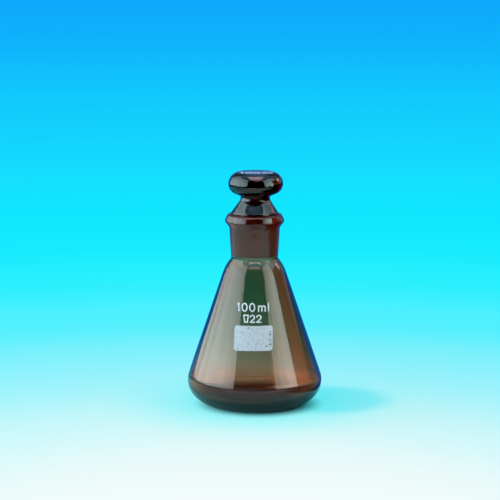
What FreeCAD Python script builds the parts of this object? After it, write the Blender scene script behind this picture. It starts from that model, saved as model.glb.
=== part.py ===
import FreeCAD, Part
import Sketcher
import math
import os

# Stoppered conical flask, 100 ml, amber laboratory glass with a ground taper joint.
# Millimetres. Frame: origin at the centre of the base, on the surface the flask stands on;
# +Z runs up the axis of both pieces.
#
# Two pieces: the flask, blown in one, and the solid pressed stopper seated in its mouth.
# Both are turned about the Z axis from one closed section each. The flask is held as two
# solids, belly and neck, that meet face to face at the foot of the neck and never part.

doc = FreeCAD.newDocument("stoppered_conical_flask")

# ------------------------------------------------------------------ driving sizes
sizes = [
    # flask, outside
    ("body_radius",         "32.0",   "widest radius, at the top of the heel"),
    ("widest_height",       "12.43",  "height of the widest section"),
    ("heel_side_radius",    "10.4",   "upper, tighter arc of the heel"),
    ("heel_low_radius",     "18.0",   "lower, flatter arc of the heel"),
    ("foot_inner_radius",   "13.0",   "inner edge of the flat ring it stands on"),
    ("push_up",             "1.0",    "height of the hollow under the base"),
    ("cone_half_angle",     "18.78",  "cone wall from the vertical, degrees"),
    ("shoulder_radius",     "19.0",   "convex arc from the cone into the neck"),
    ("neck_root_fillet",    "0.9",    "hollow where the shoulder meets the neck"),
    ("neck_root_height",    "71.4",   "lower end of the straight neck wall"),
    ("neck_top_radius",     "11.97",  "outside of the neck just under the bead"),
    ("neck_flare_angle",    "3.56",   "outside of the neck from the vertical, degrees"),
    # bead at the mouth
    ("bead_root_fillet",    "0.8",    "hollow between the neck and the bead"),
    ("bead_under_angle",    "54.0",   "underside of the bead from the horizontal, degrees"),
    ("bead_radius",         "14.0",   "widest radius of the bead"),
    ("bead_height",         "89.05",  "height of the widest section of the bead"),
    ("bead_side_round",     "1.2",    "rounding of the bead's edge"),
    ("bead_side_angle",     "22.0",   "side of the bead from the vertical, degrees"),
    ("bead_top_round",      "1.2",    "rounding between side and top of the bead"),
    ("bead_top_angle",      "55.0",   "top of the bead from the vertical, degrees"),
    ("crest_round",         "0.7",    "outer rounding of the crest of the lip"),
    ("mouth_height",        "92.4",   "height of the crest of the lip"),
    ("lip_inner_round",     "0.75",   "inner rounding of the lip, down into the socket"),
    # ground socket
    ("taper",               "0.1",    "ground taper, change of diameter over length"),
    ("gauge_radius",        "11.0",   "socket radius at the gauge height"),
    ("gauge_height",        "91.5",   "gauge height, where the socket meets the lip"),
    ("socket_root_height",  "70.9",   "lower end of the ground socket"),
    ("socket_root_round",   "1.0",    "rounding from the socket into the shoulder"),
    # wall and floor
    ("heel_wall",           "1.15",   "wall thickness where the cone meets the heel"),
    ("shoulder_wall",       "2.0",    "wall thickness at the shoulder"),
    ("cone_in_half_angle",  "19.73",  "inside of the cone from the vertical, degrees"),
    ("heel_in_radius",      "7.8",    "inside of the heel, upper, tighter arc"),
    ("heel_in_height",      "12.93",  "height of that arc's centre"),
    ("floor_thickness",     "4.2",    "glass under the lowest part of the floor"),
    ("floor_heel_radius",   "16.0",   "inside arc from the heel to the floor"),
    ("floor_dome_radius",   "130.0",  "inside dome of the floor over the push-up"),
    ("neck_foot_height",    "65.0",   "plane where the belly solid meets the neck solid"),
    # stopper
    ("plug_clearance",      "0.04",   "radial gap between plug and socket when seated"),
    ("plug_bottom_height",  "72.3",   "lower face of the plug"),
    ("plug_bottom_round",   "0.6",    "rounding of the plug's lower edge"),
    ("plug_top_round",      "1.3",    "rounding from the plug to the cone above it"),
    ("upper_cone_angle",    "34.73",  "cone above the plug from the vertical, degrees"),
    ("waist_low_fillet",    "1.2",    "hollow from the cone into the waist"),
    ("waist_radius",        "6.97",   "waist of the stopper"),
    ("waist_height",        "99.298", "lower end of the straight waist"),
    ("waist_top_fillet",    "0.7",    "hollow from the waist under the head"),
    ("head_under_angle",    "23.0",   "underside of the head from the horizontal, degrees"),
    ("head_radius",         "12.92",  "widest radius of the head"),
    ("head_height",         "106.5",  "height of the widest section of the head"),
    ("head_low_radius",     "4.9",    "lower arc of the head"),
    ("head_high_radius",    "5.8",    "upper arc of the head"),
    ("head_top_round",      "1.0",    "rounding at the rim of the flat top"),
    ("overall_height",      "112.0",  "flat top of the stopper"),
]

sheet = doc.addObject("Spreadsheet::Sheet", "Dims")
sheet.set("A1", "size")
sheet.set("B1", "value")
sheet.set("C1", "what it is")
for i, (alias, value, words) in enumerate(sizes):
    row = i + 2
    sheet.set("A%d" % row, alias)
    sheet.set("B%d" % row, value)
    sheet.set("C%d" % row, words)
    sheet.setAlias("B%d" % row, alias)
doc.recompute()


# ------------------------------------------------------------------ sketch helpers
def origin_plane(body, role):
    for feature in body.Origin.OriginFeatures:
        if feature.Role == role:
            return feature
    raise RuntimeError("no origin plane " + role)


class Section:
    """A closed half section in the XZ plane: sketch x is the radius, sketch y the height."""

    def __init__(self, body, name):
        self.sketch = body.newObject("Sketcher::SketchObject", name)
        self.sketch.AttachmentSupport = [(origin_plane(body, "XZ_Plane"), "")]
        self.sketch.MapMode = "FlatFace"
        self.ends = []

    def line(self, p, q):
        self.sketch.addGeometry(Part.LineSegment(FreeCAD.Vector(p[0], p[1], 0),
                                                 FreeCAD.Vector(q[0], q[1], 0)), False)
        self.ends.append((1, 2))
        return len(self.ends) - 1

    def arc(self, c, p, q, turn):
        """Arc about c from p to q; turn is +1 for anticlockwise, -1 for clockwise."""
        radius = math.hypot(p[0] - c[0], p[1] - c[1])
        a = math.atan2(p[1] - c[1], p[0] - c[0])
        b = math.atan2(q[1] - c[1], q[0] - c[0])
        if turn < 0:
            a, b = b, a
        if b < a:
            b += 2 * math.pi
        circle = Part.Circle(FreeCAD.Vector(c[0], c[1], 0), FreeCAD.Vector(0, 0, 1), radius)
        self.sketch.addGeometry(Part.ArcOfCircle(circle, a, b), False)
        self.ends.append((1, 2) if turn > 0 else (2, 1))
        return len(self.ends) - 1

    def first(self, g):
        return self.ends[g][0]

    def last(self, g):
        return self.ends[g][1]

    def join(self, corners):
        """Close the chain: tangent at every joint but those named as corners."""
        count = len(self.ends)
        for g in range(count):
            k = (g + 1) % count
            kind = "Coincident" if g in corners else "Tangent"
            self.sketch.addConstraint(
                Sketcher.Constraint(kind, g, self.last(g), k, self.first(k)))

    def rule(self, *args):
        return self.sketch.addConstraint(Sketcher.Constraint(*args))

    def bind(self, name, expression, *args):
        """A driving size, named and tied to the sheet."""
        index = self.sketch.addConstraint(Sketcher.Constraint(*args))
        self.sketch.renameConstraint(index, name)
        self.sketch.setExpression("Constraints." + name, expression)
        return index


def turned(body, sketch, name):
    """The section turned a full turn about the upright axis."""
    feature = body.newObject("PartDesign::Revolution", name)
    feature.Profile = sketch
    feature.ReferenceAxis = (sketch, ["V_Axis"])
    feature.Angle = 360.0
    feature.Midplane = False
    feature.Reversed = False
    body.Tip = feature
    return feature


def deg(angle):
    return math.radians(angle)


ORIGIN = (-1, 1)      # the sketch's own origin point
X_AXIS = -1
Y_AXIS = -2

# ------------------------------------------------------------------ flask
def flask_glass(body, name):
    """The whole flask, turned from its section, in the given body."""
    s = Section(body, name)
    # from the centre of the underside outwards, up the outside, over the lip,
    # down the socket and the inside wall, and back across the floor to the axis
    under_dome = s.arc((0, -84.0), (0, 1.0), (13.0, 0), -1)
    foot_ring = s.line((13.0, 0), (16.429, 0))
    heel_low = s.arc((16.429, 18.0), (16.429, 0), (28.676, 4.808), +1)
    heel_side = s.arc((21.6, 12.43), (28.676, 4.808), (31.446, 15.778), +1)
    cone = s.line((31.446, 15.778), (14.886, 64.481))
    shoulder = s.arc((-3.103, 58.364), (14.886, 64.481), (11.299, 70.757), +1)
    neck_root = s.arc((11.981, 71.344), (11.299, 70.757), (11.083, 71.4), -1)
    neck = s.line((11.083, 71.4), (11.969, 85.653))
    bead_root = s.arc((12.768, 85.603), (11.969, 85.653), (12.120, 86.073), -1)
    bead_under = s.line((12.120, 86.073), (13.771, 88.345))
    bead_edge = s.arc((12.8, 89.05), (13.771, 88.345), (13.913, 89.500), +1)
    bead_side = s.line((13.913, 89.500), (13.178, 91.319))
    bead_turn = s.arc((12.065, 90.869), (13.178, 91.319), (12.753, 91.852), +1)
    bead_top = s.line((12.753, 91.852), (12.160, 92.273))
    crest = s.arc((11.758, 91.7), (12.160, 92.273), (11.758, 92.4), +1)
    lip_inner = s.arc((11.758, 91.65), (11.758, 92.4), (11.009, 91.687), +1)
    socket = s.line((11.009, 91.687), (9.970, 70.9))
    socket_root = s.arc((10.969, 70.850), (9.970, 70.9), (10.202, 70.208), +1)
    shoulder_in = s.arc((-4.0, 60.9), (10.16, 70.30), (12.0, 66.64), -1)
    cone_in = s.line((12.0, 66.64), (30.302, 15.563))
    heel_side_in = s.arc((22.96, 12.93), (30.302, 15.563), (26.56, 6.01), -1)
    heel_low_in = s.arc((19.17, 20.2), (26.56, 6.01), (17.07, 4.338), -1)
    floor_dome = s.arc((0, -124.54), (17.07, 4.338), (0, 5.46), +1)
    axis_line = s.line((0, 5.46), (0, 1.0))
    s.join(corners=(under_dome, floor_dome, axis_line))

    # underside and foot ring
    s.rule("PointOnObject", under_dome, 3, Y_AXIS)
    s.rule("PointOnObject", under_dome, s.first(under_dome), Y_AXIS)
    s.rule("PointOnObject", under_dome, s.last(under_dome), X_AXIS)
    s.bind("foot_inner_radius", "Dims.foot_inner_radius",
           "DistanceX", *ORIGIN, under_dome, s.last(under_dome), 13.0)
    s.bind("push_up", "Dims.push_up",
           "DistanceY", *ORIGIN, under_dome, s.first(under_dome), 1.0)
    s.rule("Horizontal", foot_ring)
    # heel
    s.bind("heel_low_radius", "Dims.heel_low_radius", "Radius", heel_low, 18.0)
    s.bind("heel_side_radius", "Dims.heel_side_radius", "Radius", heel_side, 10.4)
    s.bind("heel_centre_x", "Dims.body_radius - Dims.heel_side_radius",
           "DistanceX", *ORIGIN, heel_side, 3, 21.6)
    s.bind("widest_height", "Dims.widest_height",
           "DistanceY", *ORIGIN, heel_side, 3, 12.43)
    # cone and shoulder
    s.bind("cone_angle", "(90 + Dims.cone_half_angle) * 1 deg", "Angle", cone, deg(108.78))
    s.bind("shoulder_radius", "Dims.shoulder_radius", "Radius", shoulder, 19.0)
    s.bind("neck_root_fillet", "Dims.neck_root_fillet", "Radius", neck_root, 0.9)
    # neck
    s.bind("neck_root_height", "Dims.neck_root_height",
           "DistanceY", *ORIGIN, neck, s.first(neck), 71.4)
    s.bind("neck_angle", "(90 - Dims.neck_flare_angle) * 1 deg", "Angle", neck, deg(86.44))
    s.bind("neck_top_radius", "Dims.neck_top_radius",
           "DistanceX", *ORIGIN, neck, s.last(neck), 11.97)
    # bead
    s.bind("bead_root_fillet", "Dims.bead_root_fillet", "Radius", bead_root, 0.8)
    s.bind("bead_under_angle", "Dims.bead_under_angle * 1 deg", "Angle", bead_under, deg(54.0))
    s.bind("bead_side_round", "Dims.bead_side_round", "Radius", bead_edge, 1.2)
    s.bind("bead_centre_x", "Dims.bead_radius - Dims.bead_side_round",
           "DistanceX", *ORIGIN, bead_edge, 3, 12.8)
    s.bind("bead_height", "Dims.bead_height", "DistanceY", *ORIGIN, bead_edge, 3, 89.05)
    s.bind("bead_side_angle", "(90 + Dims.bead_side_angle) * 1 deg",
           "Angle", bead_side, deg(112.0))
    s.bind("bead_top_round", "Dims.bead_top_round", "Radius", bead_turn, 1.2)
    s.bind("bead_top_angle", "(90 + Dims.bead_top_angle) * 1 deg",
           "Angle", bead_top, deg(145.0))
    s.bind("crest_round", "Dims.crest_round", "Radius", crest, 0.7)
    s.rule("Vertical", crest, 3, crest, s.last(crest))
    s.bind("mouth_height", "Dims.mouth_height",
           "DistanceY", *ORIGIN, crest, s.last(crest), 92.4)
    s.bind("lip_inner_round", "Dims.lip_inner_round", "Radius", lip_inner, 0.75)
    # ground socket
    s.bind("socket_angle", "180 deg + atan(2 / Dims.taper)",
           "Angle", socket, math.pi + math.atan(20.0))
    s.bind("socket_root_x",
           "Dims.gauge_radius - (Dims.gauge_height - Dims.socket_root_height) * Dims.taper / 2",
           "DistanceX", *ORIGIN, socket, s.last(socket), 9.97)
    s.bind("socket_root_height", "Dims.socket_root_height",
           "DistanceY", *ORIGIN, socket, s.last(socket), 70.9)
    s.bind("socket_root_round", "Dims.socket_root_round", "Radius", socket_root, 1.0)
    # inside wall, thinnest at the heel and growing towards the shoulder
    s.bind("shoulder_in_radius", "Dims.shoulder_radius - Dims.shoulder_wall",
           "Radius", shoulder_in, 17.0)
    s.bind("cone_in_angle", "(270 + Dims.cone_in_half_angle) * 1 deg",
           "Angle", cone_in, deg(289.73))
    s.bind("heel_wall", "Dims.heel_wall", "Distance", cone, s.first(cone), cone_in, 1.15)
    s.bind("heel_in_radius", "Dims.heel_in_radius", "Radius", heel_side_in, 7.8)
    s.bind("heel_in_height", "Dims.heel_in_height",
           "DistanceY", *ORIGIN, heel_side_in, 3, 12.93)
    # floor
    s.bind("floor_heel_radius", "Dims.floor_heel_radius", "Radius", heel_low_in, 16.0)
    s.bind("floor_centre_y", "Dims.floor_thickness + Dims.floor_heel_radius",
           "DistanceY", *ORIGIN, heel_low_in, 3, 20.2)
    s.bind("floor_dome_radius", "Dims.floor_dome_radius", "Radius", floor_dome, 130.0)
    s.rule("PointOnObject", floor_dome, 3, Y_AXIS)
    s.rule("PointOnObject", floor_dome, s.last(floor_dome), Y_AXIS)
    doc.recompute()
    turned(body, s.sketch, name + "Turned")
    doc.recompute()
    return s


def cut_away(body, name, low, height):
    """Takes a round block of glass off the body, from low upwards."""
    block = body.newObject("PartDesign::SubtractiveCylinder", name)
    block.AttachmentSupport = [(origin_plane(body, "XY_Plane"), "")]
    block.MapMode = "FlatFace"
    block.Radius = 60.0
    block.setExpression("AttachmentOffset.Base.z", low)
    block.setExpression("Height", height)
    body.Tip = block
    doc.recompute()


flask = doc.addObject("PartDesign::Body", "flask")
flask.Label = "flask"
flask_section = flask_glass(flask, "FlaskSection")
cut_away(flask, "AboveTheBelly", "Dims.neck_foot_height", "60 mm")

flask_neck = doc.addObject("PartDesign::Body", "flask_neck")
flask_neck.Label = "flask_neck"
neck_section = flask_glass(flask_neck, "NeckSection")
cut_away(flask_neck, "BelowTheNeck", "Dims.neck_foot_height - 80", "80 mm")

# ------------------------------------------------------------------ stopper
stopper = doc.addObject("PartDesign::Body", "stopper")
stopper.Label = "stopper"

s = Section(stopper, "StopperSection")
plug_bottom = s.line((0, 72.3), (9.419, 72.3))
plug_round = s.arc((9.419, 72.9), (9.419, 72.3), (10.018, 72.870), +1)
plug = s.line((10.018, 72.870), (11.006, 92.626))
plug_top = s.arc((9.708, 92.691), (11.006, 92.626), (10.776, 93.432), +1)
upper_cone = s.line((10.776, 93.432), (7.184, 98.614))
waist_low = s.arc((8.17, 99.298), (7.184, 98.614), (6.97, 99.298), -1)
waist = s.line((6.97, 99.298), (6.97, 100.268))
waist_top = s.arc((7.67, 100.268), (6.97, 100.268), (7.396, 100.912), -1)
head_under = s.line((7.396, 100.912), (9.935, 101.990))
head_low = s.arc((8.02, 106.5), (9.935, 101.990), (12.92, 106.5), +1)
head_high = s.arc((7.12, 106.5), (12.92, 106.5), (9.138, 111.9375), +1)
head_rim = s.arc((8.790, 111.0), (9.138, 111.9375), (8.790, 112.0), +1)
head_top = s.line((8.790, 112.0), (0, 112.0))
stopper_axis = s.line((0, 112.0), (0, 72.3))
s.join(corners=(head_top, stopper_axis))

# plug
s.rule("Horizontal", plug_bottom)
s.rule("PointOnObject", plug_bottom, s.first(plug_bottom), Y_AXIS)
s.bind("plug_bottom_height", "Dims.plug_bottom_height",
       "DistanceY", *ORIGIN, plug_bottom, s.first(plug_bottom), 72.3)
s.bind("plug_bottom_round", "Dims.plug_bottom_round", "Radius", plug_round, 0.6)
s.bind("plug_angle", "atan(2 / Dims.taper)", "Angle", plug, math.atan(20.0))
# the plug's gauge point, level with the socket's and one clearance inside it
gauge = s.sketch.addGeometry(Part.Point(FreeCAD.Vector(10.96, 91.5, 0)), True)
s.bind("plug_gauge_radius", "Dims.gauge_radius - Dims.plug_clearance",
       "DistanceX", *ORIGIN, gauge, 1, 10.96)
s.bind("plug_gauge_height", "Dims.gauge_height", "DistanceY", *ORIGIN, gauge, 1, 91.5)
s.rule("PointOnObject", gauge, 1, plug)
s.bind("plug_top_round", "Dims.plug_top_round", "Radius", plug_top, 1.3)
# cone, waist and head
s.bind("upper_cone_angle", "(90 + Dims.upper_cone_angle) * 1 deg",
       "Angle", upper_cone, deg(124.73))
s.bind("waist_low_fillet", "Dims.waist_low_fillet", "Radius", waist_low, 1.2)
s.rule("Vertical", waist)
s.bind("waist_radius", "Dims.waist_radius",
       "DistanceX", *ORIGIN, waist, s.first(waist), 6.97)
s.bind("waist_height", "Dims.waist_height",
       "DistanceY", *ORIGIN, waist, s.first(waist), 99.298)
s.bind("waist_top_fillet", "Dims.waist_top_fillet", "Radius", waist_top, 0.7)
s.bind("head_under_angle", "Dims.head_under_angle * 1 deg", "Angle", head_under, deg(23.0))
s.bind("head_low_radius", "Dims.head_low_radius", "Radius", head_low, 4.9)
s.bind("head_height", "Dims.head_height", "DistanceY", *ORIGIN, head_low, 3, 106.5)
s.bind("head_radius", "Dims.head_radius",
       "DistanceX", *ORIGIN, head_low, s.last(head_low), 12.92)
s.rule("Horizontal", head_low, 3, head_low, s.last(head_low))
s.bind("head_high_radius", "Dims.head_high_radius", "Radius", head_high, 5.8)
s.bind("head_top_round", "Dims.head_top_round", "Radius", head_rim, 1.0)
s.rule("Horizontal", head_top)
s.bind("overall_height", "Dims.overall_height",
       "DistanceY", *ORIGIN, head_top, s.last(head_top), 112.0)
s.rule("PointOnObject", head_top, s.last(head_top), Y_AXIS)
doc.recompute()
stopper_section = s
stopper_turned = turned(stopper, s.sketch, "StopperTurned")
doc.recompute()

# both pieces stand where they belong: the stopper is seated in the mouth
flask.Placement = FreeCAD.Placement()
flask_neck.Placement = FreeCAD.Placement()
stopper.Placement = FreeCAD.Placement()
doc.recompute()

# ------------------------------------------------------------------ self checks
for obj in doc.Objects:
    for word in obj.State:
        if word in ("Invalid", "Error"):
            raise RuntimeError("%s is %s" % (obj.Name, word))

for label, section in (("flask", flask_section), ("flask_neck", neck_section),
                       ("stopper", stopper_section)):
    free = section.sketch.solve()
    if free != 0:
        raise RuntimeError("section of %s does not solve: %d" % (label, free))
    if not section.sketch.FullyConstrained:
        raise RuntimeError("section of %s is not fully constrained" % label)


def sheet_value(alias):
    return float(sheet.get(alias))


for body in (flask, flask_neck, stopper):
    shape = body.Shape
    if shape.isNull() or not shape.isValid() or len(shape.Solids) != 1:
        raise RuntimeError(body.Label + " has no single valid solid")
    box = shape.optimalBoundingBox(True, False)
    print("%s: volume %.1f mm3, x %.3f..%.3f, y %.3f..%.3f, z %.3f..%.3f" % (
        body.Label, shape.Volume, box.XMin, box.XMax, box.YMin, box.YMax,
        box.ZMin, box.ZMax))

# belly and neck meet at one ring of face, without overlapping, and make one piece of glass
glass = flask.Shape.fuse(flask_neck.Shape)
shared = flask.Shape.common(flask_neck.Shape).Volume
apart = flask.Shape.distToShape(flask_neck.Shape)[0]
print("belly and neck: overlap %.5f mm3, apart %.5f mm, glass %.1f mm3" % (
    shared, apart, glass.Volume))
if shared > 1e-6 or apart > 1e-6 or len(glass.Solids) != 1:
    raise RuntimeError("belly and neck do not meet")

# the flask is hollow: its glass is far less than its outside volume
outside = Part.Face(Part.Wire(Part.makePolygon([
    FreeCAD.Vector(0, 0, 0), FreeCAD.Vector(16.4, 0, 0), FreeCAD.Vector(31.4, 0, 15.8),
    FreeCAD.Vector(14.9, 0, 64.5), FreeCAD.Vector(11.1, 0, 71.4),
    FreeCAD.Vector(11.1, 0, 92.0), FreeCAD.Vector(0, 0, 92.0), FreeCAD.Vector(0, 0, 0)])))
rough = outside.revolve(FreeCAD.Vector(0, 0, 0), FreeCAD.Vector(0, 0, 1), 360)
if not glass.Volume < 0.35 * abs(rough.Volume):
    raise RuntimeError("the flask is not hollow")

# the widest points are where the sheet puts them
flask_box = flask.Shape.optimalBoundingBox(True, False)
stopper_box = stopper.Shape.optimalBoundingBox(True, False)
if abs(flask_box.XMax - sheet_value("body_radius")) > 0.02:
    raise RuntimeError("flask radius is off")
if abs(stopper_box.ZMax - sheet_value("overall_height")) > 0.02:
    raise RuntimeError("overall height is off")

# the plug clears the socket all the way round
common = glass.common(stopper.Shape)
gap = glass.distToShape(stopper.Shape)[0]
print("overlap %.4f mm3, smallest gap %.4f mm" % (common.Volume, gap))
if common.Volume > 1e-6 or gap < 0.02:
    raise RuntimeError("the stopper touches the flask")

# what the flask holds, to the foot of the neck
block = Part.makeCylinder(40, 70.0)
for solid in block.cut(glass).Solids:
    if solid.isInside(FreeCAD.Vector(0, 0, 30), 0.01, True):
        print("holds %.1f ml to the foot of the neck" % (solid.Volume / 1000))
        if not 95 < solid.Volume / 1000 < 115:
            raise RuntimeError("the flask does not hold its nominal volume")
print("glass %.1f g of flask, %.1f g of stopper" % (
    glass.Volume * 2.23e-3, stopper.Shape.Volume * 2.23e-3))

# ------------------------------------------------------------------ export
os.makedirs("parts", exist_ok=True)
for body in (flask, flask_neck, stopper):
    body.Shape.exportStep("parts/%s.step" % body.Label)
print("wrote", sorted(os.listdir("parts")))
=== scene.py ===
import math

import bpy
import numpy as np
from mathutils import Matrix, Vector


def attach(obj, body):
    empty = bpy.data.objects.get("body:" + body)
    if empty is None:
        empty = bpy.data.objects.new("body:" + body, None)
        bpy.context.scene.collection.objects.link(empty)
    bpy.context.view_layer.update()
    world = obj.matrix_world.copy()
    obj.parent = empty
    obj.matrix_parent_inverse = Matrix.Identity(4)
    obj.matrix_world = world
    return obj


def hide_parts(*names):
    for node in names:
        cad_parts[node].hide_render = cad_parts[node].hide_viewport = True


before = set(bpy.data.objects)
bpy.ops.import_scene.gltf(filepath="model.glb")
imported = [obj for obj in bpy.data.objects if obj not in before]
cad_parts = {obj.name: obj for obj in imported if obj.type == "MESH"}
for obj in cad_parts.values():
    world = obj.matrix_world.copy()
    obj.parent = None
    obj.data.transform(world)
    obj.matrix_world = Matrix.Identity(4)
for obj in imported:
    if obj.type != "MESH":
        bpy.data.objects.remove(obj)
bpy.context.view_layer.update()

scene = bpy.context.scene
scene.view_settings.view_transform = "Standard"
scene.view_settings.look = "None"
scene.view_settings.exposure = 0.0
scene.view_settings.gamma = 1.0

MM = 0.001
SEGMENTS = 288


# ------------------------------------------------------------------ sections
# Half sections in millimetres (radius, height), as on the solids. "L" is a line, "A" an arc
# about its centre, turning +1 anticlockwise or -1 clockwise. The last entry names the surface:
# 0 polished, 1 ground.
FLASK = [
    ("A", (0.0000, -84.0000), (0.0000, 1.0000), (13.0000, 0.0000), -1, 0),
    ("L", (13.0000, 0.0000), (16.4294, 0.0000), 0),
    ("A", (16.4294, 18.0000), (16.4294, 0.0000), (28.6756, 4.8079), +1, 0),
    ("A", (21.6000, 12.4300), (28.6756, 4.8079), (31.4463, 15.7781), +1, 0),
    ("L", (31.4463, 15.7781), (14.8853, 64.4816), 0),
    ("A", (-3.1032, 58.3648), (14.8853, 64.4816), (11.2993, 70.7571), +1, 0),
    ("A", (11.9815, 71.3441), (11.2993, 70.7571), (11.0832, 71.4000), -1, 0),
    ("L", (11.0832, 71.4000), (11.9700, 85.6537), 0),
    ("A", (12.7685, 85.6040), (11.9700, 85.6537), (12.1212, 86.0742), -1, 0),
    ("L", (12.1212, 86.0742), (13.7708, 88.3447), 0),
    ("A", (12.8000, 89.0500), (13.7708, 88.3447), (13.9126, 89.4995), +1, 0),
    ("L", (13.9126, 89.4995), (13.1744, 91.3268), 0),
    ("A", (12.0618, 90.8772), (13.1744, 91.3268), (12.7500, 91.8602), +1, 0),
    ("L", (12.7500, 91.8602), (12.1599, 92.2734), 0),
    ("A", (11.7584, 91.7000), (12.1599, 92.2734), (11.7584, 92.4000), +1, 0),
    ("A", (11.7584, 91.6500), (11.7584, 92.4000), (11.0094, 91.6875), +1, 0),
    ("L", (11.0094, 91.6875), (10.0400, 72.3000), 1),
    ("L", (10.0400, 72.3000), (9.9700, 70.9000), 0),
    ("A", (10.9688, 70.8501), (9.9700, 70.9000), (10.1370, 70.2950), +1, 0),
    ("A", (-4.0033, 60.8581), (10.1370, 70.2950), (11.9987, 66.5971), -1, 0),
    ("L", (11.9987, 66.5971), (30.3017, 15.5632), 0),
    ("A", (22.9596, 12.9300), (30.3017, 15.5632), (26.5676, 6.0146), -1, 0),
    ("A", (19.1666, 20.2000), (26.5676, 6.0146), (17.0661, 4.3385), -1, 0),
    ("A", (0.0000, -124.5365), (17.0661, 4.3385), (0.0000, 5.4635), +1, 0),
]
STOPPER = [
    ("L", (0.0000, 72.3000), (9.4293, 72.3000), 1),
    ("A", (9.4293, 72.9000), (9.4293, 72.3000), (10.0285, 72.8700), +1, 1),
    ("L", (10.0285, 72.8700), (10.9625, 91.5500), 1),
    ("L", (10.9625, 91.5500), (11.0156, 92.6128), 0),
    ("A", (9.7173, 92.6778), (11.0156, 92.6128), (10.7857, 93.4184), +1, 0),
    ("L", (10.7857, 93.4184), (7.1838, 98.6143), 0),
    ("A", (8.1700, 99.2980), (7.1838, 98.6143), (6.9700, 99.2980), -1, 0),
    ("L", (6.9700, 99.2980), (6.9700, 100.2678), 0),
    ("A", (7.6700, 100.2678), (6.9700, 100.2678), (7.3965, 100.9122), -1, 0),
    ("L", (7.3965, 100.9122), (9.9346, 101.9895), 0),
    ("A", (8.0200, 106.5000), (9.9346, 101.9895), (12.9200, 106.5000), +1, 0),
    ("A", (7.1200, 106.5000), (12.9200, 106.5000), (9.1383, 111.9375), +1, 0),
    ("A", (8.7903, 111.0000), (9.1383, 111.9375), (8.7903, 112.0000), +1, 0),
    ("L", (8.7903, 112.0000), (0.0000, 112.0000), 0),
]


def sampled(section, angle_step=5.0, line_step=2.5):
    """Points along a section and, for each stretch between them, which surface it is."""
    points, kinds = [section[0][1] if section[0][0] == "L" else section[0][2]], []
    for part in section:
        kind = part[-1]
        if part[0] == "L":
            _, p, q, _ = part
            length = math.dist(p, q)
            count = max(1, int(math.ceil(length / line_step)))
            for i in range(1, count + 1):
                f = i / count
                points.append((p[0] + (q[0] - p[0]) * f, p[1] + (q[1] - p[1]) * f))
                kinds.append(kind)
        else:
            _, c, p, q, turn, _ = part
            radius = math.dist(c, p)
            a = math.atan2(p[1] - c[1], p[0] - c[0])
            b = math.atan2(q[1] - c[1], q[0] - c[0])
            if turn > 0 and b < a:
                b += 2 * math.pi
            if turn < 0 and b > a:
                b -= 2 * math.pi
            sweep = abs(b - a)
            count = max(2, int(math.ceil(math.degrees(sweep) / angle_step)),
                        int(math.ceil(sweep * radius / line_step)))
            for i in range(1, count + 1):
                t = a + (b - a) * i / count
                points.append((c[0] + radius * math.cos(t), c[1] + radius * math.sin(t)))
                kinds.append(kind)
    return points, kinds


def lathed(name, section, materials, wobble=None, lean=None):
    """The section turned about Z into one closed mesh. wobble(r, z, angle) may shift a point,
    and lean(z) carries a whole level sideways along X."""
    points, kinds = sampled(section)
    points[0] = (0.0, points[0][1])
    points[-1] = (0.0, points[-1][1])
    angles = np.arange(SEGMENTS) * 2 * math.pi / SEGMENTS
    ca, sa = np.cos(angles), np.sin(angles)
    verts = [np.array([[0.0, 0.0, points[0][1]]])]
    for r, z in points[1:-1]:
        rr = np.full(SEGMENTS, r)
        zz = np.full(SEGMENTS, z)
        if wobble is not None:
            dr, dz = wobble(r, z, angles)
            rr, zz = rr + dr, zz + dz
        verts.append(np.stack([rr * ca, rr * sa, zz], 1))
    verts.append(np.array([[0.0, 0.0, points[-1][1]]]))
    verts = np.concatenate(verts)
    if lean is not None:
        verts[:, 0] += lean(verts[:, 2])
    verts *= MM
    rings = len(points) - 2
    faces, marks = [], []
    last = 1 + rings * SEGMENTS
    for j in range(SEGMENTS):
        k = (j + 1) % SEGMENTS
        faces.append((0, 1 + k, 1 + j))
        marks.append(kinds[0])
    for i in range(rings - 1):
        low, high = 1 + i * SEGMENTS, 1 + (i + 1) * SEGMENTS
        for j in range(SEGMENTS):
            k = (j + 1) % SEGMENTS
            faces.append((low + j, low + k, high + k, high + j))
            marks.append(kinds[i + 1])
    top = 1 + (rings - 1) * SEGMENTS
    for j in range(SEGMENTS):
        k = (j + 1) % SEGMENTS
        faces.append((top + j, top + k, last))
        marks.append(kinds[-1])
    mesh = bpy.data.meshes.new(name)
    mesh.from_pydata(verts.tolist(), [], faces)
    for material in materials:
        mesh.materials.append(material)
    mesh.polygons.foreach_set("material_index", marks)
    mesh.polygons.foreach_set("use_smooth", [True] * len(faces))
    mesh.update()
    obj = bpy.data.objects.new(name, mesh)
    scene.collection.objects.link(obj)
    return obj


# ------------------------------------------------------------------ materials
def new_material(name):
    material = bpy.data.materials.new(name)
    material.use_nodes = True
    nodes = material.node_tree.nodes
    nodes.clear()
    out = nodes.new("ShaderNodeOutputMaterial")
    return material, nodes, material.node_tree.links, out


# amber: how fast the glass takes up red, green and blue, per metre
AMBER_DENSITY = 1500.0
AMBER_COLOUR = (0.873, 0.555, 0.405)


def amber_volume(nodes, links, out):
    volume = nodes.new("ShaderNodeVolumeAbsorption")
    volume.inputs["Color"].default_value = (*AMBER_COLOUR, 1.0)
    volume.inputs["Density"].default_value = AMBER_DENSITY
    links.new(volume.outputs["Volume"], out.inputs["Volume"])


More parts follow.
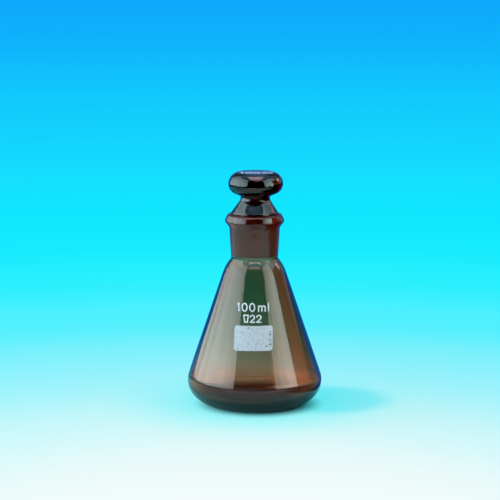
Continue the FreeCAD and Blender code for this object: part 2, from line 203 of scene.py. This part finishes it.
def polished_glass(name):
    """Fire-polished glass with the faint ripple of its skin and a thin film from handling."""
    material, nodes, links, out = new_material(name)
    coords = nodes.new("ShaderNodeTexCoord")
    film = nodes.new("ShaderNodeTexNoise")
    film.inputs["Scale"].default_value = 150.0
    film.inputs["Detail"].default_value = 7.0
    film.inputs["Roughness"].default_value = 0.62
    links.new(coords.outputs["Object"], film.inputs["Vector"])
    haze = nodes.new("ShaderNodeMapRange")
    haze.interpolation_type = "SMOOTHSTEP"
    haze.inputs["From Min"].default_value = 0.50
    haze.inputs["From Max"].default_value = 0.74
    haze.inputs["To Min"].default_value = 0.0
    haze.inputs["To Max"].default_value = 0.045
    links.new(film.outputs["Fac"], haze.inputs["Value"])
    skin = nodes.new("ShaderNodeTexNoise")
    skin.inputs["Scale"].default_value = 85.0
    skin.inputs["Detail"].default_value = 1.0
    links.new(coords.outputs["Object"], skin.inputs["Vector"])
    ripple = nodes.new("ShaderNodeBump")
    ripple.inputs["Strength"].default_value = 0.30
    ripple.inputs["Distance"].default_value = 0.00008
    links.new(skin.outputs["Fac"], ripple.inputs["Height"])
    shader = nodes.new("ShaderNodeBsdfPrincipled")
    shader.inputs["Base Color"].default_value = (1.0, 1.0, 1.0, 1.0)
    links.new(haze.outputs["Result"], shader.inputs["Roughness"])
    links.new(ripple.outputs["Normal"], shader.inputs["Normal"])
    shader.inputs["IOR"].default_value = 1.49
    shader.inputs["Transmission Weight"].default_value = 1.0
    links.new(shader.outputs["BSDF"], out.inputs["Surface"])
    amber_volume(nodes, links, out)
    return material


def ground_glass(name):
    """The ground zones: a fine frosted grain that scatters the light."""
    material, nodes, links, out = new_material(name)
    coords = nodes.new("ShaderNodeTexCoord")
    grain = nodes.new("ShaderNodeTexNoise")
    grain.inputs["Scale"].default_value = 2600.0
    grain.inputs["Detail"].default_value = 4.0
    grain.inputs["Roughness"].default_value = 0.6
    links.new(coords.outputs["Object"], grain.inputs["Vector"])
    bump = nodes.new("ShaderNodeBump")
    bump.inputs["Strength"].default_value = 0.35
    bump.inputs["Distance"].default_value = 0.0001
    links.new(grain.outputs["Fac"], bump.inputs["Height"])
    clear = nodes.new("ShaderNodeBsdfPrincipled")
    clear.inputs["Base Color"].default_value = (1.0, 1.0, 1.0, 1.0)
    clear.inputs["Roughness"].default_value = 0.5
    clear.inputs["IOR"].default_value = 1.49
    clear.inputs["Transmission Weight"].default_value = 1.0
    links.new(bump.outputs["Normal"], clear.inputs["Normal"])
    frost = nodes.new("ShaderNodeBsdfDiffuse")
    frost.inputs["Color"].default_value = (0.95, 0.95, 0.95, 1.0)
    links.new(bump.outputs["Normal"], frost.inputs["Normal"])
    mix = nodes.new("ShaderNodeMixShader")
    mix.inputs["Fac"].default_value = 0.13
    links.new(clear.outputs["BSDF"], mix.inputs[1])
    links.new(frost.outputs["BSDF"], mix.inputs[2])
    links.new(mix.outputs["Shader"], out.inputs["Surface"])
    amber_volume(nodes, links, out)
    return material


def blown(r, z, angle):
    """Inner wall of the cone and heel: thicker towards +X, with the slow ripple of blown glass."""
    outer = np.interp(z, [0.0, 4.81, 15.78, 64.48, 70.76], [16.43, 28.68, 31.45, 14.89, 11.30])
    inside = r < outer - 0.6 and r > 8.0 and 5.0 < z < 69.0
    if not inside:
        return 0.0, 0.0
    fade = min(1.0, (z - 5.0) / 6.0) * min(1.0, (69.0 - z) / 12.0)
    low = min(1.0, max(0.0, (58.0 - z) / 30.0))
    shift = -0.30 * np.cos(angle + 0.35) * (0.35 + 0.65 * low)
    ripple = 0.035 * np.sin(3.0 * angle + 0.06 * z) + 0.020 * np.sin(7.0 * angle - 0.09 * z + 1.0)
    return fade * (shift + ripple), 0.0


clear_amber = polished_glass("amber_polished")
ground_amber = ground_glass("amber_ground")

flask = lathed("flask_glass", FLASK, [clear_amber, ground_amber], wobble=blown)


def stopper_lean(z):
    f = np.clip((z - 90.0) / 16.0, 0.0, 1.0)
    return 0.55 * f * f * (3.0 - 2.0 * f)


stopper = lathed("stopper_glass", STOPPER, [clear_amber, ground_amber], lean=stopper_lean)
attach(flask, "flask")
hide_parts("flask", "flask_neck")
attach(stopper, "stopper")
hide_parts("stopper")


# ------------------------------------------------------------------ stage
def srgb(r, g, b):
    def one(c):
        c /= 255.0
        return c / 12.92 if c <= 0.04045 else ((c + 0.055) / 1.055) ** 2.4
    return one(r), one(g), one(b)


def rectangle(name, x0, x1, y0, y1, z=-0.00002):
    mesh = bpy.data.meshes.new(name)
    mesh.from_pydata([(x0, y0, z), (x1, y0, z), (x1, y1, z), (x0, y1, z)], [], [(0, 1, 2, 3)])
    mesh.update()
    obj = bpy.data.objects.new(name, mesh)
    scene.collection.objects.link(obj)
    return obj


def ramp_node(nodes, stops, interpolation="EASE"):
    ramp = nodes.new("ShaderNodeValToRGB")
    ramp.color_ramp.interpolation = interpolation
    elements = ramp.color_ramp.elements
    while len(elements) > 1:
        elements.remove(elements[-1])
    for i, (position, colour) in enumerate(stops):
        e = elements[0] if i == 0 else elements.new(position)
        e.position = position
        e.color = (*colour, 1.0)
    return ramp


def maths(nodes, links, operation, a, b=None, c=None, clamp=False):
    node = nodes.new("ShaderNodeMath")
    node.operation = operation
    node.use_clamp = clamp
    for socket, value in zip(node.inputs, (a, b, c)):
        if value is None:
            continue
        if isinstance(value, (int, float)):
            socket.default_value = value
        else:
            links.new(value, socket)
    return node.outputs[0]


def smooth(nodes, links, value, low, high, to_low=0.0, to_high=1.0):
    node = nodes.new("ShaderNodeMapRange")
    node.interpolation_type = "SMOOTHSTEP"
    node.inputs["From Min"].default_value = low
    node.inputs["From Max"].default_value = high
    node.inputs["To Min"].default_value = to_low
    node.inputs["To Max"].default_value = to_high
    links.new(value, node.inputs["Value"])
    return node.outputs["Result"]


# ------------------------------------------------------------------ fired enamel
CONE_FOOT = (31.4463, 15.7781)
CONE_ANGLE = math.radians(18.78)
rng = np.random.default_rng(41)


def on_cone(u, v, height):
    """A point on the front of the cone: u round it, v up its slant from the foot, both in mm."""
    z = CONE_FOOT[1] + v * math.cos(CONE_ANGLE) + height * math.sin(CONE_ANGLE)
    skin = CONE_FOOT[0] - v * math.sin(CONE_ANGLE)
    r = skin + height * math.cos(CONE_ANGLE)
    angle = u / skin
    return np.stack([r * np.sin(angle), -r * np.cos(angle), z], 1)


def on_top(u, v, height):
    """A point on the flat top of the stopper, which leans with its head."""
    return np.stack([u + 0.55, v, 112.0 + height + 0 * u], 1)


def grain(x, y, size, seed):
    """Smooth seeded noise from 0 to 1 on a lattice of the given size."""
    table = np.random.default_rng(seed).random((97, 97))
    gx, gy = x / size + 40.0, y / size + 40.0
    ix, iy = np.floor(gx).astype(int), np.floor(gy).astype(int)
    fx, fy = gx - ix, gy - iy
    fx, fy = fx * fx * (3 - 2 * fx), fy * fy * (3 - 2 * fy)
    a, b = table[ix % 97, iy % 97], table[(ix + 1) % 97, iy % 97]
    c, d = table[ix % 97, (iy + 1) % 97], table[(ix + 1) % 97, (iy + 1) % 97]
    return (a * (1 - fx) + b * fx) * (1 - fy) + (c * (1 - fx) + d * fx) * fy


def turn(cx, cy, rx, ry, start, end, steps=40):
    """Points along part of an ellipse, degrees anticlockwise from +u."""
    t = np.radians(np.linspace(start, end, steps))
    return list(zip(cx + rx * np.cos(t), cy + ry * np.sin(t)))


# each glyph as pen strokes about its own middle, one unit being half the cap height
def zero(w):
    return [turn(0, 0, w, 1.0, 0, 360, 72)]


def one(w):
    return [[(-0.62 * w, 0.72), (0.0, 1.0), (0.0, -1.0)]]


def two(w):
    top = 1.0 - w
    arc = turn(0, top, w, w, 170, -38, 40)
    return [arc + [(-w, -1.0), (w, -1.0)]]


def taper(w):
    return [[(-w, 1.0), (w, 1.0), (0.55 * w, -1.0), (-0.55 * w, -1.0), (-w, 1.0)]]


def letter_m(w):
    low, top, r = -1.0, 0.35, w / 2
    left = [[(-w, low), (-w, top)]]
    hump1 = turn(-w + r, top - r, r, r, 180, 0, 24) + [(0.0, low)]
    hump2 = turn(r, top - r, r, r, 180, 0, 24) + [(w, low)]
    return left + [hump1, hump2]


def letter_l(w):
    return [[(0.0, 1.0), (0.0, -1.0)]]


def pen_distance(gx, gy, strokes):
    """How far each grid point is from the nearest pen stroke."""
    best = np.full(gx.shape, 1e9)
    for line in strokes:
        for (x0, y0), (x1, y1) in zip(line[:-1], line[1:]):
            dx, dy = x1 - x0, y1 - y0
            span = dx * dx + dy * dy
            if span < 1e-12:
                continue
            t = np.clip(((gx - x0) * dx + (gy - y0) * dy) / span, 0.0, 1.0)
            best = np.minimum(best, np.hypot(gx - x0 - t * dx, gy - y0 - t * dy))
    return best


def line_of(glyphs, middle, half_height, unit_width):
    """Glyphs set at given places along u, as strokes in mm."""
    strokes = []
    for shape, place, w in glyphs:
        for stroke in shape(w * unit_width / half_height):
            strokes.append([(place + x * half_height, middle + y * half_height)
                            for x, y in stroke])
    return strokes


def enamel(name, gx, gy, field, place, proud=0.030, sunk=0.020):
    """A closed plate wherever the field is negative, laid on a surface by place(u, v, height)."""
    rows, cols = field.shape
    index, us, vs = {}, [], []

    def corner(i, j):
        key = (i, j)
        if key not in index:
            index[key] = len(us)
            us.append(gx[i, j])
            vs.append(gy[i, j])
        return index[key]

    def crossing(i, j, k, l):
        key = (i, j, k, l) if (i, j) < (k, l) else (k, l, i, j)
        if key not in index:
            i, j, k, l = key
            f = field[i, j] / (field[i, j] - field[k, l])
            index[key] = len(us)
            us.append(gx[i, j] + f * (gx[k, l] - gx[i, j]))
            vs.append(gy[i, j] + f * (gy[k, l] - gy[i, j]))
        return index[key]

    faces = []
    inside = field < 0
    touched = (inside[:-1, :-1] | inside[1:, :-1] | inside[:-1, 1:] | inside[1:, 1:])
    for i, j in zip(*np.nonzero(touched)):
        around = [(i, j), (i, j + 1), (i + 1, j + 1), (i + 1, j)]
        shape = []
        for a in range(4):
            p, q = around[a], around[(a + 1) % 4]
            if inside[p]:
                shape.append(corner(*p))
            if inside[p] != inside[q]:
                shape.append(crossing(*p, *q))
        if len(shape) >= 3:
            faces.append(shape)
    us, vs = np.array(us), np.array(vs)
    count = len(us)
    front, back = place(us, vs, proud), place(us, vs, -sunk)
    edges = {}
    for face in faces:
        for a in range(len(face)):
            edge = (face[a], face[(a + 1) % len(face)])
            if (edge[1], edge[0]) in edges:
                del edges[(edge[1], edge[0])]
            else:
                edges[edge] = True
    whole = list(faces) + [[count + k for k in reversed(face)] for face in faces]
    whole += [[b, a, count + a, count + b] for a, b in edges]
    mesh = bpy.data.meshes.new(name)
    mesh.from_pydata((np.concatenate([front, back]) * MM).tolist(), [], whole)
    mesh.update()
    obj = bpy.data.objects.new(name, mesh)
    scene.collection.objects.link(obj)
    return obj


def grid(u0, u1, v0, v1, step):
    us = np.arange(u0, u1 + step, step)
    vs = np.arange(v0, v1 + step, step)
    return np.meshgrid(us, vs)


def fired_enamel(name, colour, dark):
    """White vitreous enamel, slightly mottled and rough."""
    material, nodes, links, out = new_material(name)
    coords = nodes.new("ShaderNodeTexCoord")
    cloud = nodes.new("ShaderNodeTexNoise")
    cloud.inputs["Scale"].default_value = 900.0
    cloud.inputs["Detail"].default_value = 5.0
    cloud.inputs["Roughness"].default_value = 0.65
    links.new(coords.outputs["Object"], cloud.inputs["Vector"])
    ramp = ramp_node(nodes, [(0.35, dark), (0.62, colour)], "EASE")
    links.new(cloud.outputs["Fac"], ramp.inputs["Fac"])
    bump = nodes.new("ShaderNodeBump")
    bump.inputs["Strength"].default_value = 0.25
    bump.inputs["Distance"].default_value = 0.00005
    links.new(cloud.outputs["Fac"], bump.inputs["Height"])
    shader = nodes.new("ShaderNodeBsdfPrincipled")
    links.new(ramp.outputs["Color"], shader.inputs["Base Color"])
    shader.inputs["Roughness"].default_value = 0.55
    links.new(bump.outputs["Normal"], shader.inputs["Normal"])
    links.new(shader.outputs["BSDF"], out.inputs["Surface"])
    return material


ENAMEL_FIELD, ENAMEL_FIELD_DARK = (0.36, 0.395, 0.43), (0.28, 0.315, 0.35)
ENAMEL_MARK, ENAMEL_MARK_DARK = (0.48, 0.50, 0.52), (0.39, 0.42, 0.44)
field_enamel = fired_enamel("enamel_field", ENAMEL_FIELD, ENAMEL_FIELD_DARK)
mark_enamel = fired_enamel("enamel_marks", ENAMEL_MARK, ENAMEL_MARK_DARK)

# the writing field: a rounded panel whose rim is uneven and chipped in places
gu, gv = grid(-10.6, 10.0, 15.6, 29.0, 0.11)
pu, pv = gu + 0.62 - 0.033 * (gv - 22.28), gv - 22.28
half_u, half_v, corner_r = 9.25, 5.90, 1.45
qx, qy = np.abs(pu) - (half_u - corner_r), np.abs(pv) - (half_v - corner_r)
panel_field = (np.hypot(np.maximum(qx, 0), np.maximum(qy, 0))
               + np.minimum(np.maximum(qx, qy), 0) - corner_r)
panel_field += 0.10 * (grain(gu, gv, 0.55, 3) - 0.5) + 0.10 * (grain(gu, gv, 1.7, 4) - 0.5)
chips = [(-2.80, 27.20, 0.27), (-2.35, 27.35, 0.18), (5.30, 18.45, 0.30), (5.75, 18.75, 0.18),
         (-8.35, 17.55, 0.32), (-7.95, 17.15, 0.20), (-8.7, 18.5, 0.16)]
for k in range(26):
    chips.append((6.55 + 1.25 * rng.random(), 18.6 + 7.2 * rng.random(),
                  0.14 + 0.16 * rng.random() ** 2))
for k in range(14):
    chips.append((-9.0 + 16.5 * rng.random(), 17.3 + 10.0 * rng.random(),
                  0.09 + 0.08 * rng.random()))
for cu, cv, cr in chips:
    hole = cr - np.hypot(gu - cu, gv - cv) + 0.12 * (grain(gu, gv, 0.25, 5) - 0.5)
    panel_field = np.maximum(panel_field, hole)
writing_field = enamel("writing_field", gu, gv, panel_field, on_cone)
writing_field.data.materials.append(field_enamel)

# the capacity over it, and under that the joint size after a plain taper sign
strokes = line_of([(one, -7.55, 1.0), (zero, -4.74, 1.15), (zero, -1.15, 1.15),
                   (letter_m, 3.42, 1.58), (letter_l, 6.62, 1.0)], 36.90, 1.82, 1.0)
gu, gv = grid(-8.9, 7.8, 34.2, 39.7, 0.07)
wear = 0.05 * (grain(gu, gv, 0.30, 6) - 0.5)
top_line = pen_distance(gu, gv, strokes) - 0.300 + wear
capacity = enamel("capacity_mark", gu, gv, top_line, on_cone)
capacity.data.materials.append(mark_enamel)
strokes = line_of([(taper, -4.05, 1.10), (two, -1.05, 0.97), (two, 2.00, 0.97)],
                  31.54, 1.62, 1.0)
gu, gv = grid(-6.2, 4.0, 29.1, 34.0, 0.07)
wear = 0.05 * (grain(gu, gv, 0.30, 7) - 0.5)
low_line = pen_distance(gu, gv, strokes) - 0.300 + wear
joint_size = enamel("joint_size_mark", gu, gv, low_line, on_cone)
joint_size.data.materials.append(mark_enamel)

# plain figures on the flat top of the stopper
strokes = line_of([(one, -6.4, 1.0), (zero, -3.35, 1.30), (zero, 0.45, 1.30),
                   (two, 4.15, 0.90), (two, 7.05, 0.90)], -2.7, 2.35, 1.0)
gu, gv = grid(-8.3, 8.7, -5.9, 0.6, 0.09)
field = pen_distance(gu, gv, strokes) - 0.30 + 0.06 * (grain(gu, gv, 0.35, 8) - 0.5)
field = np.maximum(field, np.hypot(gu, gv) - 8.55)
stopper_mark = enamel("stopper_mark", gu, gv, field, on_top)
stopper_mark.data.materials.append(mark_enamel)

for obj in (writing_field, capacity, joint_size):
    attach(obj, "flask")
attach(stopper_mark, "stopper")


# how the paper's colour runs with distance from a point in front of the object, in metres
PAPER_CENTRE = (0.0, -0.20, 0.0)
PAPER_RUN = [
    (0.03, (250, 253, 252)),
    (0.12, (236, 252, 251)),
    (0.22, (188, 248, 253)),
    (0.36, (115, 242, 254)),
    (0.48, (66, 240, 254)),
    (0.64, (28, 236, 254)),
    (1.20, (20, 217, 253)),
    (2.40, (16, 187, 252)),
    (4.30, (13, 168, 251)),
]
PAPER_FAR = 7.0


def floor_material():
    """Paper that carries its own even light, and beside the object also takes the lamps' light."""
    material, nodes, links, out = new_material("floor_paper")
    coords = nodes.new("ShaderNodeTexCoord")

    def distance_from(point):
        shift = nodes.new("ShaderNodeVectorMath")
        shift.operation = "DISTANCE"
        shift.inputs[1].default_value = point
        links.new(coords.outputs["Object"], shift.inputs[0])
        return shift.outputs["Value"]

    def tinted(colour, tint, factor=None):
        node = nodes.new("ShaderNodeVectorMath")
        node.operation = "MULTIPLY"
        node.inputs[1].default_value = tint
        links.new(colour, node.inputs[0])
        result = node.outputs["Vector"]
        if factor is not None:
            scale = nodes.new("ShaderNodeVectorMath")
            scale.operation = "MULTIPLY"
            links.new(result, scale.inputs[0])
            links.new(factor, scale.inputs[1])
            result = scale.outputs["Vector"]
        return result

    near = distance_from((0.0, 0.0, 0.0))
    root = maths(nodes, links, "POWER",
                 maths(nodes, links, "DIVIDE", distance_from(PAPER_CENTRE), PAPER_FAR, clamp=True),
                 0.5)
    ramp = ramp_node(nodes, [(math.sqrt(d / PAPER_FAR), srgb(*c)) for d, c in PAPER_RUN],
                     "CARDINAL")
    links.new(root, ramp.inputs["Fac"])
    paper = ramp.outputs["Color"]
    # painted shadow: the paper is darkened round the object's foot, and a soft cyan shadow is
    # painted on its far side
    centre = distance_from((0.002, 0.002, 0.0))
    painted_foot_shade = smooth(nodes, links, centre, 0.0185, 0.0325)
    # painted shade: by the heel the paper is made darker only where polished glass mirrors it
    mirrored = nodes.new("ShaderNodeLightPath")
    painted_reflection_shade = maths(nodes, links, "MULTIPLY", mirrored.outputs["Is Glossy Ray"],
                  smooth(nodes, links, centre, 0.027, 0.040, 0.62, 0.0))
    painted_foot_shade = maths(nodes, links, "MULTIPLY", painted_foot_shade, maths(nodes, links, "SUBTRACT", 1.0, painted_reflection_shade))
    # painted shade: the paper's red is cut near the object's foot, fading out by 80 mm
    painted_red_shade = smooth(nodes, links, centre, 0.010, 0.080, 0.44, 1.0)
    painted_foot_shadow_colour = nodes.new("ShaderNodeCombineXYZ")
    links.new(maths(nodes, links, "MULTIPLY", painted_foot_shade, painted_red_shade), painted_foot_shadow_colour.inputs[0])
    links.new(painted_foot_shade, painted_foot_shadow_colour.inputs[1])
    links.new(painted_foot_shade, painted_foot_shadow_colour.inputs[2])
    painted_foot_shadow = painted_foot_shadow_colour.outputs["Vector"]
    # painted shadow: a soft cyan shadow on the paper to the +X side of the object
    painted_side_shadow = smooth(nodes, links, distance_from((0.036, 0.010, 0.0)), 0.020, 0.036, 1.0, 0.0)
    shade = nodes.new("ShaderNodeMix")
    shade.data_type = "RGBA"
    shade.blend_type = "MULTIPLY"
    shade.inputs["B"].default_value = (0.50, 0.92, 0.95, 1.0)
    links.new(painted_side_shadow, shade.inputs["Factor"])
    links.new(paper, shade.inputs["A"])
    glow = nodes.new("ShaderNodeEmission")
    links.new(tinted(shade.outputs["Result"], PAPER_GLOW, painted_foot_shadow), glow.inputs["Color"])
    glow.inputs["Strength"].default_value = 1.0
    lit = nodes.new("ShaderNodeBsdfDiffuse")
    links.new(tinted(paper, tuple(k * (1.0 - g) for k, g in zip(PAPER_LIT, PAPER_GLOW)), painted_foot_shadow),
              lit.inputs["Color"])
    both = nodes.new("ShaderNodeAddShader")
    links.new(glow.outputs["Emission"], both.inputs[0])
    links.new(lit.outputs["BSDF"], both.inputs[1])
    own = nodes.new("ShaderNodeEmission")
    links.new(paper, own.inputs["Color"])
    own.inputs["Strength"].default_value = 1.0
    mix = nodes.new("ShaderNodeMixShader")
    links.new(smooth(nodes, links, near, 0.06, 0.30), mix.inputs["Fac"])
    links.new(both.outputs["Shader"], mix.inputs[1])
    links.new(own.outputs["Emission"], mix.inputs[2])
    links.new(mix.outputs["Shader"], out.inputs["Surface"])
    return material


# the share of the paper's colour beside the object that is its own light; the lamps give the rest
PAPER_GLOW = (0.76, 0.86, 0.89)
PAPER_LIT = (0.34, 0.45, 0.42)
paper = floor_material()
# the table top near the object, and the paper round it, which polished glass doesn't mirror
FAR = 7.0
near_table = [(-0.50, 0.30, -0.30, -0.08), (-0.50, 0.045, -0.08, 0.12),
              (-0.50, -0.14, 0.12, 0.27)]
further = [
    (-FAR, FAR, -FAR, -0.30),
    (-FAR, -0.50, -0.30, 0.12), (0.30, FAR, -0.30, -0.08), (0.045, FAR, -0.08, 0.12),
    (-FAR, -0.50, 0.12, 0.27), (-0.14, FAR, 0.12, 0.27),
    (-FAR, FAR, 0.27, FAR),
]
for i, (x0, x1, y0, y1) in enumerate(near_table + further):
    piece = rectangle("floor_%d" % i, x0, x1, y0, y1)
    piece.data.materials.append(paper)
    if i >= len(near_table):
        piece.visible_glossy = False


def studio_world():
    world = bpy.data.worlds.new("studio") if scene.world is None else scene.world
    scene.world = world
    world.use_nodes = True
    nodes, links = world.node_tree.nodes, world.node_tree.links
    nodes.clear()
    out = nodes.new("ShaderNodeOutputWorld")
    background = nodes.new("ShaderNodeBackground")
    coords = nodes.new("ShaderNodeTexCoord")
    split = nodes.new("ShaderNodeSeparateXYZ")
    links.new(coords.outputs["Generated"], split.inputs[0])
    height = maths(nodes, links, "MULTIPLY_ADD", split.outputs["Z"], 0.5, 0.5)
    ramp = ramp_node(nodes, [
        (0.20, (0.000, 0.100, 0.420)),
        (0.47, (0.000, 0.150, 0.700)),
        (0.54, (0.050, 0.310, 0.850)),
        (0.60, (0.120, 0.320, 0.560)),
        (0.70, (0.050, 0.120, 0.200)),
        (0.85, (0.250, 0.500, 0.750)),
        (0.93, (0.500, 0.950, 1.350)),
    ], "LINEAR")
    links.new(height, ramp.inputs["Fac"])
    back = smooth(nodes, links, split.outputs["Y"], 0.50, 0.87)
    over = smooth(nodes, links, split.outputs["Z"], 0.72, 0.86)
    share = maths(nodes, links, "MAXIMUM", back, over)
    tint = nodes.new("ShaderNodeMix")
    tint.data_type = "RGBA"
    tint.inputs["A"].default_value = (0.004, 0.004, 0.006, 1.0)
    links.new(share, tint.inputs["Factor"])
    links.new(ramp.outputs["Color"], tint.inputs["B"])
    seen = nodes.new("ShaderNodeLightPath")
    sky = nodes.new("ShaderNodeMix")
    sky.data_type = "RGBA"
    sky.inputs["B"].default_value = (*srgb(13, 166, 250), 1.0)
    links.new(seen.outputs["Is Camera Ray"], sky.inputs["Factor"])
    links.new(tint.outputs["Result"], sky.inputs["A"])
    links.new(sky.outputs["Result"], background.inputs["Color"])
    background.inputs["Strength"].default_value = 1.0
    links.new(background.outputs["Background"], out.inputs["Surface"])


studio_world()


def panel(name, place, facing, width, height, radiance, colour=(1, 1, 1)):
    """An even light panel, unseen by the camera itself."""
    data = bpy.data.lights.new(name, "AREA")
    data.shape = "RECTANGLE"
    data.size = width
    data.size_y = height
    data.energy = radiance * math.pi * width * height
    data.color = colour
    obj = bpy.data.objects.new(name, data)
    scene.collection.objects.link(obj)
    obj.location = place
    obj.rotation_mode = "QUATERNION"
    obj.rotation_quaternion = Vector(facing).to_track_quat("-Z", "Y")
    obj.visible_camera = False
    return obj


def standing(name, first, last, low, high, radiance, colour, distance=0.56):
    """A panel that stands upright and spans two azimuths; 0 is the viewer's side, 90 is +X."""
    middle, half = math.radians((first + last) / 2), math.radians(abs(last - first) / 2)
    out = Vector((math.sin(middle), -math.cos(middle), 0.0))
    place = out * distance + Vector((0, 0, (low + high) / 2))
    return panel(name, place, -out, 2 * distance * math.tan(half), high - low, radiance, colour)


BLUISH = (0.68, 0.91, 0.96)
for i, (first, last, strength) in enumerate([
        (-36.5, -45.0, 3.5), (-45.0, -57.0, 4.6), (-57.0, -77.0, 5.6), (-77.0, -97.0, 6.1),
        (-97.0, -117.0, 4.7), (-117.0, -137.0, 2.5)]):
    standing("box_left_%d" % i, first, last, 0.045, 0.44, strength, BLUISH)
    standing("box_left_high_%d" % i, first, last, 0.44, 0.80, 0.72 * strength, BLUISH)
for i, (first, last, strength) in enumerate([
        (36.5, 47.0, 2.8), (47.0, 60.0, 4.3), (60.0, 78.0, 5.3)]):
    standing("box_right_%d" % i, first, last, 0.045, 0.44, strength, (0.78, 1.00, 0.95))
    standing("box_right_high_%d" % i, first, last, 0.44, 0.80, 0.72 * strength, (0.78, 0.96, 0.90))
standing("box_warm", 78.0, 110.0, 0.10, 0.42, 0.95, (1.0, 0.17, 0.055))
standing("box_cool", 78.0, 110.0, 0.42, 0.80, 2.4, (0.55, 0.80, 1.0))
standing("box_far_right", 112.0, 140.0, 0.11, 0.80, 0.6, (0.85, 0.80, 0.80))
standing("box_card", 113.0, 125.0, 0.25, 0.38, 4.8, (1.0, 0.62, 0.55), distance=0.54)
panel("box_top", (0.0, -0.1635, 0.95), (0, 0, -1), 0.60, 0.50, 5.4, (1.0, 0.60, 0.70))
panel("box_strip", (0.0, -0.55, 0.80), (0.0, 0.62, -0.78), 0.60, 0.12, 3.4, (1.0, 0.42, 0.50))

# ------------------------------------------------------------------ camera
camera_data = bpy.data.cameras.new("camera")
camera_data.sensor_width = 36.0
camera_data.lens = 161.5
camera_data.clip_start = 0.05
camera_data.clip_end = 20.0
camera = bpy.data.objects.new("camera", camera_data)
scene.collection.objects.link(camera)
camera.location = (-0.00217, -1.050, 0.2424)
camera.rotation_euler = (math.radians(90.0 - 9.07), 0.0, 0.0)
scene.camera = camera
